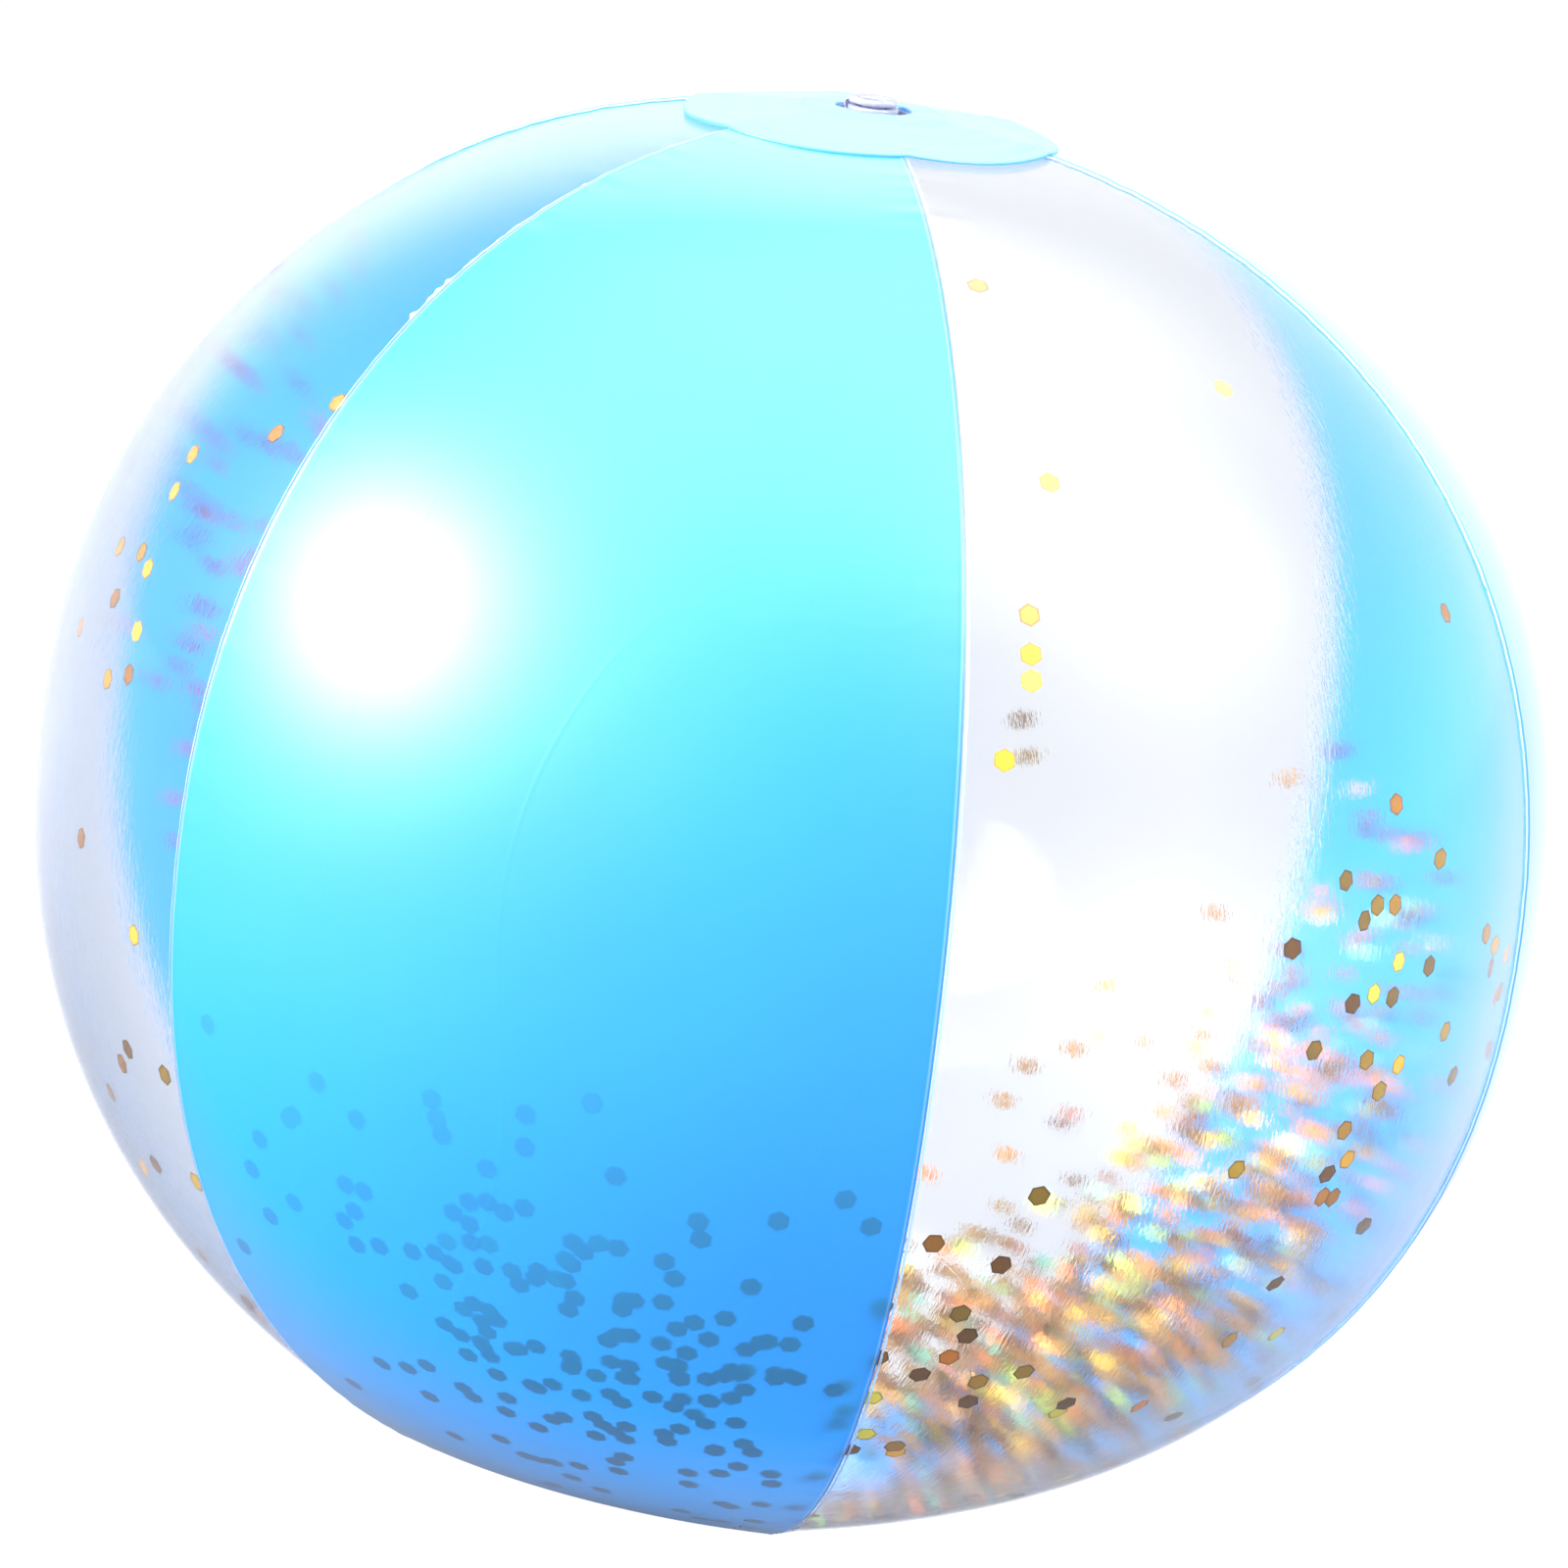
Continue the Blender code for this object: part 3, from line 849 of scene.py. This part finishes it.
def add_plug():
    """The plug: a stepped shank with a barb, and a dished head with a small pull tab."""
    tip, head = SHANK_TIP, HEAD_RADIUS
    profile = [
        (0, tip),
        (0.0013, tip),
        (0.0016, tip + 0.0002),
        (0.0022, tip + 0.0012),
        (0.0026, tip + 0.0015),
        (0.0026, tip + 0.0018),
        (0.0023, tip + 0.0021),
        (0.0023, SEAT - 0.0003),
        (0.0026, SEAT),
        (head * 0.72, SEAT),
        (head * 0.97, SEAT + 0.0001),
        (head, SEAT + 0.0004),
        (head, SEAT + 0.0007),
        (head * 0.95, SEAT + 0.0010),
        (head * 0.84, SEAT + 0.0012),
        (head * 0.66, SEAT + 0.0011),
        (head * 0.55, SEAT + 0.0007),
        (head * 0.30, SEAT + 0.0006),
        (0, SEAT + 0.0006),
    ]
    add_vinyl("valve_stopper", "valve_plug", *turned(profile, head_outline), "valve_plug")
    ends, middle = SEAT + 0.0007, SEAT + 0.0010
    path = ((-0.0030, ends), (-0.0012, middle), (0.0012, middle), (0.0030, ends))
    add_vinyl("valve_pull_tab", "valve_plug", *bar(path, 0.0006, 0.0006))


def bar(path, half_width, thickness):
    """A rounded band across the pole axis that follows a path of x and z."""
    knots = np.array(path)
    sides = 16
    share = np.linspace(0, len(knots) - 1, 6 * len(knots))
    x = np.interp(share, np.arange(len(knots)), knots[:, 0])
    z = np.interp(share, np.arange(len(knots)), knots[:, 1])
    slope = np.stack((np.gradient(x), np.gradient(z)), -1)
    slope /= np.linalg.norm(slope, axis=1)[:, None]
    side = np.stack((-slope[:, 1], slope[:, 0]), -1)
    ring = np.linspace(0, math.tau, sides + 1)[:-1]
    across = half_width * np.sign(np.cos(ring)) * np.abs(np.cos(ring)) ** 0.5
    lift = thickness / 2 * np.sign(np.sin(ring)) * np.abs(np.sin(ring)) ** 0.5
    points = np.stack(
        (
            x[:, None] + side[:, :1] * lift[None, :],
            np.broadcast_to(across[None, :], (len(x), sides)),
            z[:, None] + side[:, 1:] * lift[None, :],
        ),
        -1,
    )
    faces = grid_faces(len(x), sides, wraps=True).tolist()
    faces.append(list(range(sides)))
    faces.append([(len(x) - 1) * sides + k for k in range(sides - 1, -1, -1)])
    return points, faces


def add_strap():
    """The strap that keeps the plug on the stem, from under the rim round to the head."""
    path = (
        (-STEM_RADIUS + 0.0004, RIM - 0.0011),
        (HINGE_X + 0.0002, RIM - 0.0008),
        (HINGE_X, RIM + 0.0001),
        (HINGE_X + 0.0001, SEAT + 0.0003),
        (HINGE_X + 0.0006, SEAT + 0.0006),
        (-HEAD_RADIUS + 0.0012, SEAT + 0.0005),
    )
    strap = add_vinyl("valve_strap", None, *bar(path, STRAP_HALF, STRAP_THICKNESS))
    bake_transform(strap)


def add_flap():
    """The non-return flap: a thin dished disc on a short tab."""
    top, low = FLAP_BOX[1].z, FLAP_BOX[0].z
    radius = FLAP_BOX[1].y
    profile = [
        (0, low + 0.00010),
        (radius * 0.5, low + 0.00005),
        (radius * 0.92, low),
        (radius, low + 0.00008),
        (radius, top - 0.00004),
        (radius * 0.96, top),
        (radius * 0.5, top - 0.00006),
        (0, top - 0.00008),
    ]
    outline = with_tab(-FLAP_BOX[0].x, STRAP_HALF)
    add_vinyl("valve_flap_disc", "valve_flap", *turned(profile, outline), "valve_flap")


def add_valve():
    """The flange is the CAD's own, and the rest are finer pieces."""
    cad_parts["valve_flange"].data.materials[0] = VINYL
    add_sleeve()
    add_stem()
    add_plug()
    add_strap()
    add_flap()


# The sequins --------------------------------------------------------------------------------------

SEQUIN_RADIUS = 0.00195
SEQUIN_THICKNESS = 0.00006
SEQUIN_BEVEL = 0.84  # share of the radius where the worn edge of its outer face begins
SPIN_SPREAD = 0.28  # how far, in radians, a flake turns from corner up
SHADE_RANGE = (0.75, 1.15)
RIM_SHADE = 0.45
# First seeds of the places and of the flakes of each group, and the seed of the single flakes.
SCATTER_SEED, FLAKE_SEED, SINGLE_SEED = 100, 200, 300
ANGLE_LIMITS = (20, 169)  # flakes keep clear of the caps' middles
SINGLE_TILT = 3.0
# Tints of the face against the film, bronze and gold foil darkened by a painted reflection of dark
# surroundings, and of the face seen across the ball's inside.
OUTER_FOIL_AND_DARK_REFLECTION = (
    (0.44, 0.175, 0.010),
    (0.31, 0.120, 0.008),
    (0.17, 0.062, 0.006),
    (0.50, 0.250, 0.016),
    (0.25, 0.140, 0.010),
    (0.80, 0.250, 0.008),
    (0.84, 0.450, 0.008),
    (0.90, 0.800, 0.080),
    (0.56, 0.350, 0.020),
    (0.35, 0.200, 0.010),
)
INNER_TINTS = (
    (0.31, 0.165, 0.060),
    (0.24, 0.120, 0.045),
    (0.21, 0.105, 0.080),
    (0.34, 0.200, 0.070),
    (0.19, 0.105, 0.055),
    (0.30, 0.140, 0.110),
    (0.32, 0.160, 0.065),
    (0.26, 0.150, 0.090),
    (0.20, 0.100, 0.040),
    (0.36, 0.190, 0.055),
    (0.23, 0.130, 0.050),
    (0.42, 0.200, 0.060),
    (0.72, 0.22, 0.06),
    (0.66, 0.28, 0.10),
    (0.70, 0.44, 0.07),
    (0.42, 0.58, 0.12),
    (0.22, 0.50, 0.34),
)
PINK_TINTS = (
    (0.66, 0.14, 0.28),
    (0.52, 0.12, 0.26),
    (0.72, 0.24, 0.24),
    (0.36, 0.12, 0.24),
)
# Loose groups: longitude and polar angle of the middle, spread both ways, how many, and tilt.
GROUPS = (
    (-78, 119, 12, 9, 150, 1.2),
    (-98, 109, 12, 6, 34, 1.2),
    (-75, 142, 14, 7, 34, 1.5),
    (-25, 94, 4.5, 9, 24, 4),
    (-8, 92, 6, 8, 10, 4),
    (-40, 119, 12, 5, 8, 4),
    (-135, 72, 5, 7, 10, 4),
    (-127, 112, 4, 11, 12, 4),
    (168, 80, 6, 16, 70, 6),
    (49, 112, 8, 11, 120, 9),
    (43, 129, 13, 8, 230, 12),
    (40, 144, 17, 7, 390, 15),
    (42, 156, 34, 5, 480, 17),
    (-6, 161, 40, 4, 150, 16),
)
PINK_GROUP = 8
# Single sequins that stand alone on the clear film: longitude and polar angle.
SINGLES = (
    (-55, 30), (-27, 40), (-52, 49), (-55, 60), (-55, 63), (-55, 65), (-57, 71), (-51, 101),
    (-126, 57), (-121, 53), (-10, 62), (89, 94), (88, 97), (73, 128), (80, 125), (69, 119),
)


def film_depth(angle, longitude):
    """How deep a sequin lies: against the blue film, or against the clear film and its laps."""
    gore = np.floor((longitude - FIRST_SEAM) / SEAM_STEP).astype(int) % 2
    near_seam = seam_distance(angle, longitude) < LAP + SEQUIN_RADIUS
    return np.where((gore == 0) & ~near_seam, 0.00010, LAYER + FILM + 0.00012)


def add_sequins(name, longitudes, angles, tilts, seed, inner_tints=INNER_TINTS):
    """Hexagonal flakes in one piece, each against the film behind it and most with a corner up."""
    rng = np.random.default_rng(seed)
    count = len(longitudes)
    depth = film_depth(angles, longitudes) + np.sin(np.radians(tilts)) * SEQUIN_RADIUS
    middles = surface(angles, longitudes, depth)
    across, up = outward(angles)
    normals = np.stack((across * np.cos(longitudes), across * np.sin(longitudes), up), -1)
    lean = rng.uniform(0, math.tau, count)
    spin = rng.normal(math.pi / 2, SPIN_SPREAD, count) - lean
    points, faces, colours = [], [], []
    for i in range(count):
        turn = Vector(normals[i]).to_track_quat("Z", "Y").to_matrix()
        turn = turn @ Matrix.Rotation(lean[i], 3, "Z")
        turn = turn @ Matrix.Rotation(math.radians(tilts[i]), 3, "X")
        first = len(points)
        for reach, height in ((1.0, 0.5), (1.0, -0.5), (SEQUIN_BEVEL, 0.5)):
            for k in range(6):
                corner = spin[i] + k * math.tau / 6
                flat = Vector((math.cos(corner), math.sin(corner), 0)) * SEQUIN_RADIUS * reach
                flat.z = height * SEQUIN_THICKNESS
                points.append(Vector(middles[i]) + turn @ flat)
        ring = [(first + k, first + (k + 1) % 6) for k in range(6)]
        faces.append([first + 12 + k for k in range(6)])
        faces.append([first + 11 - k for k in range(6)])
        faces += [[a, b, b + 12, a + 12] for a, b in ring]
        faces += [[a, a + 6, b + 6, b] for a, b in ring]
        shade = rng.uniform(*SHADE_RANGE)
        # The face against the film takes a foil tint darkened by a painted reflection of dark
        # surroundings.
        outer = [shade * part for part in OUTER_FOIL_AND_DARK_REFLECTION[rng.integers(len(OUTER_FOIL_AND_DARK_REFLECTION))]]
        inner = [shade * part for part in inner_tints[rng.integers(len(inner_tints))]]
        rim = [RIM_SHADE * part for part in outer]
        colours += [outer, inner] + [rim] * 12
    mesh = bpy.data.meshes.new(name)
    mesh.from_pydata([p[:] for p in points], [], faces)
    mesh.materials.append(FOIL)
    tint = mesh.attributes.new("tint", "FLOAT_COLOR", "CORNER")
    values = []
    for face, colour in zip(mesh.polygons, colours):
        values += [(*colour, 1.0)] * len(face.vertices)
    tint.data.foreach_set("color", np.asarray(values, np.float32).ravel())
    piece = add_object(name, mesh)
    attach(piece, "ball")
    return piece


def scatter_sequins():
    """All groups, which share out the CAD's sequins between them, and the single flakes."""
    nodes = sorted(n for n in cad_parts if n.startswith("sequin_"))
    share = math.ceil(len(nodes) / len(GROUPS))
    for i, (longitude, angle, wide, tall, count, tilt) in enumerate(GROUPS):
        rng = np.random.default_rng(SCATTER_SEED + i)
        angles = np.clip(angle + tall * rng.standard_normal(count), *ANGLE_LIMITS)
        angles = np.radians(angles)
        off = wide * rng.standard_normal(count) * math.sin(math.radians(angle)) / np.sin(angles)
        longitudes = np.radians(longitude + off)
        tilts = np.abs(rng.normal(0, tilt, count))
        inner_tints = PINK_TINTS if i == PINK_GROUP else INNER_TINTS
        name, seed = f"sequins_{i + 1:02d}", FLAKE_SEED + i
        piece = add_sequins(name, longitudes, angles, tilts, seed, inner_tints)
        mine = nodes[i * share : (i + 1) * share]
        if mine:
            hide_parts(*mine)
    lone = np.radians(SINGLES)
    tilts = np.full(len(lone), SINGLE_TILT)
    add_sequins("sequins_single", lone[:, 0], lone[:, 1], tilts, SINGLE_SEED)


# The set ------------------------------------------------------------------------------------------

SKY_FRONT = (0.60, 0.66, 0.78, 1)
SKY_BACK = (1.22, 1.24, 1.28, 1)
SKY_BAND = (0.54, 0.60, 0.72, 1)
SKY_HIGH = (5.2, 5.2, 5.2, 1)
FILL_LOW = (1.15, 1.15, 1.15, 1)
FILL_HIGH = (0.35, 0.35, 0.35, 1)
FLOOR_SEEN = (1.0, 1.0, 1.0, 1)
FLOOR_THROUGH = (0.80, 0.815, 0.84, 1)
# Painted shadow of the ball on the floor's glow, as reflections see it.
FLOOR_NEAR_SHADOW = (0.12, 0.15, 0.20, 1)
FLOOR_FRONT = (0.58, 0.61, 0.70, 1)
FLOOR_BACK = (1.00, 1.02, 1.08, 1)
FLOOR_BOUNCE = (0.47, 0.49, 0.53, 1)
FLOOR_MATT = (0.07, 0.07, 0.08, 1)
FLOOR_MATT_SEEN = (0.04, 0.04, 0.04, 1)
FLOOR_HALF = 30.0
FLOOR_DROP = 0.0005
WHITE = (1, 1, 1, 1)
# Where one brightness gives way to the next: start and length from the floor's middle and
# towards its back, and start and end in the sky's Y or Z.
FLOOR_AWAY, FLOOR_BEHIND = (0.25, 0.55), (-0.05, 0.35)
BAND_SPAN, BACK_SPAN, HIGH_SPAN, FILL_SPAN = (0.0, 0.20), (0.25, 0.80), (0.58, 0.97), (0.0, 1.0)
# Lamps: direction from the ball's middle, distance, width and power.
KEY_LEFT = (-0.72, -0.545, 0.42), 1.3, 0.45, 40
KEY_RIGHT = (0.74, -0.04, 0.665), 1.3, 0.45, 23
FRONT_FILL = (-0.25, -0.93, 0.50), 1.4, 0.9, 11


def add_floor():
    """Pale where it is looked at, straight or through clear film; dimmer as a light on the ball,
    with a painted shadow near it.
    """
    n = Nodes("floor_pale")
    path = n.add("ShaderNodeLightPath")
    looked_at, soft = path.outputs["Is Camera Ray"], path.outputs["Is Diffuse Ray"]
    through = n.math("SUBTRACT", path.outputs["Is Transmission Ray"], soft, clamp=True)
    seen = n.math("MAXIMUM", looked_at, through)
    place = n.add("ShaderNodeTexCoord").outputs["Object"]
    away = n.add("ShaderNodeVectorMath", {0: place}, operation="LENGTH").outputs["Value"]
    behind = n.add("ShaderNodeSeparateXYZ", {0: place}).outputs["Y"]
    # Painted shadow: seen in reflections, the floor's glow is dark near the ball where its shadow
    # would fall.
    glow = n.mix_colour(n.rise(away, *FLOOR_AWAY), FLOOR_NEAR_SHADOW, FLOOR_FRONT)
    glow = n.mix_colour(n.rise(behind, *FLOOR_BEHIND), glow, FLOOR_BACK)
    glow = n.mix_colour(soft, glow, FLOOR_BOUNCE)
    glow = n.mix_colour(through, glow, FLOOR_THROUGH)
    glow = n.mix_colour(looked_at, glow, FLOOR_SEEN)
    glow = n.add("ShaderNodeEmission", {"Color": glow, "Strength": 1.0})
    matt = n.mix_colour(seen, FLOOR_MATT, FLOOR_MATT_SEEN)
    matt = n.add("ShaderNodeBsdfDiffuse", {"Color": matt})
    both = n.add("ShaderNodeAddShader")
    n.feed(both.inputs[0], glow.outputs[0])
    n.feed(both.inputs[1], matt.outputs[0])
    material = n.finish(both.outputs[0])
    mesh = bpy.data.meshes.new("floor")
    corners = [(FLOOR_HALF * x, FLOOR_HALF * y, 0) for x, y in ((-1, -1), (1, -1), (1, 1), (-1, 1))]
    mesh.from_pydata(corners, [], [(0, 1, 2, 3)])
    mesh.materials.append(material)
    floor = add_object("floor", mesh)
    floor.location.z = -FLOOR_DROP


def add_world():
    """A bright ceiling for reflections, wrap-round light for the rest, and white behind it all."""
    world = bpy.data.worlds.new("studio")
    world.use_nodes = True
    tree = world.node_tree
    direction = tree.nodes.new("ShaderNodeTexCoord")
    parts = tree.nodes.new("ShaderNodeSeparateXYZ")
    tree.links.new(direction.outputs["Generated"], parts.inputs[0])
    path = tree.nodes.new("ShaderNodeLightPath")

    def ramp(axis, start, end):
        node = tree.nodes.new("ShaderNodeMapRange")
        node.interpolation_type = "SMOOTHSTEP"
        tree.links.new(parts.outputs[axis], node.inputs["Value"])
        node.inputs["From Min"].default_value = start
        node.inputs["From Max"].default_value = end
        return node.outputs[0]

    def blend(share, a, b):
        node = tree.nodes.new("ShaderNodeMix")
        node.data_type = "RGBA"
        tree.links.new(share, node.inputs["Factor"])
        for socket, value in ((node.inputs[6], a), (node.inputs[7], b)):
            if isinstance(value, bpy.types.NodeSocket):
                tree.links.new(value, socket)
            else:
                socket.default_value = value
        return node.outputs[2]

    front = blend(ramp("Z", *BAND_SPAN), SKY_FRONT, SKY_BAND)
    sides = blend(ramp("Y", *BACK_SPAN), front, SKY_BACK)
    sky = blend(ramp("Z", *HIGH_SPAN), sides, SKY_HIGH)
    fill = blend(ramp("Z", *FILL_SPAN), FILL_LOW, FILL_HIGH)
    seen = blend(path.outputs["Is Diffuse Ray"], sky, fill)
    seen = blend(path.outputs["Is Camera Ray"], seen, WHITE)
    tree.links.new(seen, tree.nodes["Background"].inputs["Color"])
    bpy.context.scene.world = world


def add_light(name, direction, distance, size, power):
    """A round soft lamp that faces the ball, in this direction from its middle."""
    data = bpy.data.lights.new(name, "AREA")
    data.shape = "DISK"
    data.size = size
    data.energy = power
    lamp = bpy.data.objects.new(name, data)
    away = Vector(direction).normalized()
    lamp.location = CENTRE + away * distance
    lamp.rotation_euler = away.to_track_quat("Z", "Y").to_euler()
    bpy.context.scene.collection.objects.link(lamp)
    return lamp


def add_lights():
    """Two lamps for the highlights, and one that reflections leave out."""
    add_light("key_left", *KEY_LEFT)
    add_light("key_right", *KEY_RIGHT)
    front = add_light("front_fill", *FRONT_FILL)
    front.visible_glossy = False


def add_camera():
    """The photograph's view."""
    data = bpy.data.cameras.new("camera")
    data.lens = CAMERA_LENS
    data.sensor_width = 36
    data.shift_x, data.shift_y = CAMERA_SHIFT
    data.clip_start = 0.01
    camera = bpy.data.objects.new("camera", data)
    towards = Vector(
        (
            math.sin(CAMERA_AZIMUTH) * math.cos(CAMERA_ELEVATION),
            -math.cos(CAMERA_AZIMUTH) * math.cos(CAMERA_ELEVATION),
            math.sin(CAMERA_ELEVATION),
        )
    )
    turn = towards.to_track_quat("Z", "Y").to_matrix() @ Matrix.Rotation(CAMERA_ROLL, 3, "Z")
    camera.matrix_world = Matrix.Translation(CENTRE + towards * CAMERA_DISTANCE) @ turn.to_4x4()
    bpy.context.scene.collection.objects.link(camera)
    bpy.context.scene.camera = camera


add_camera()
add_world()
add_floor()
add_lights()
bpy.context.scene.view_settings.view_transform = "Standard"

add_gores()
add_caps()
add_valve()
scatter_sequins()
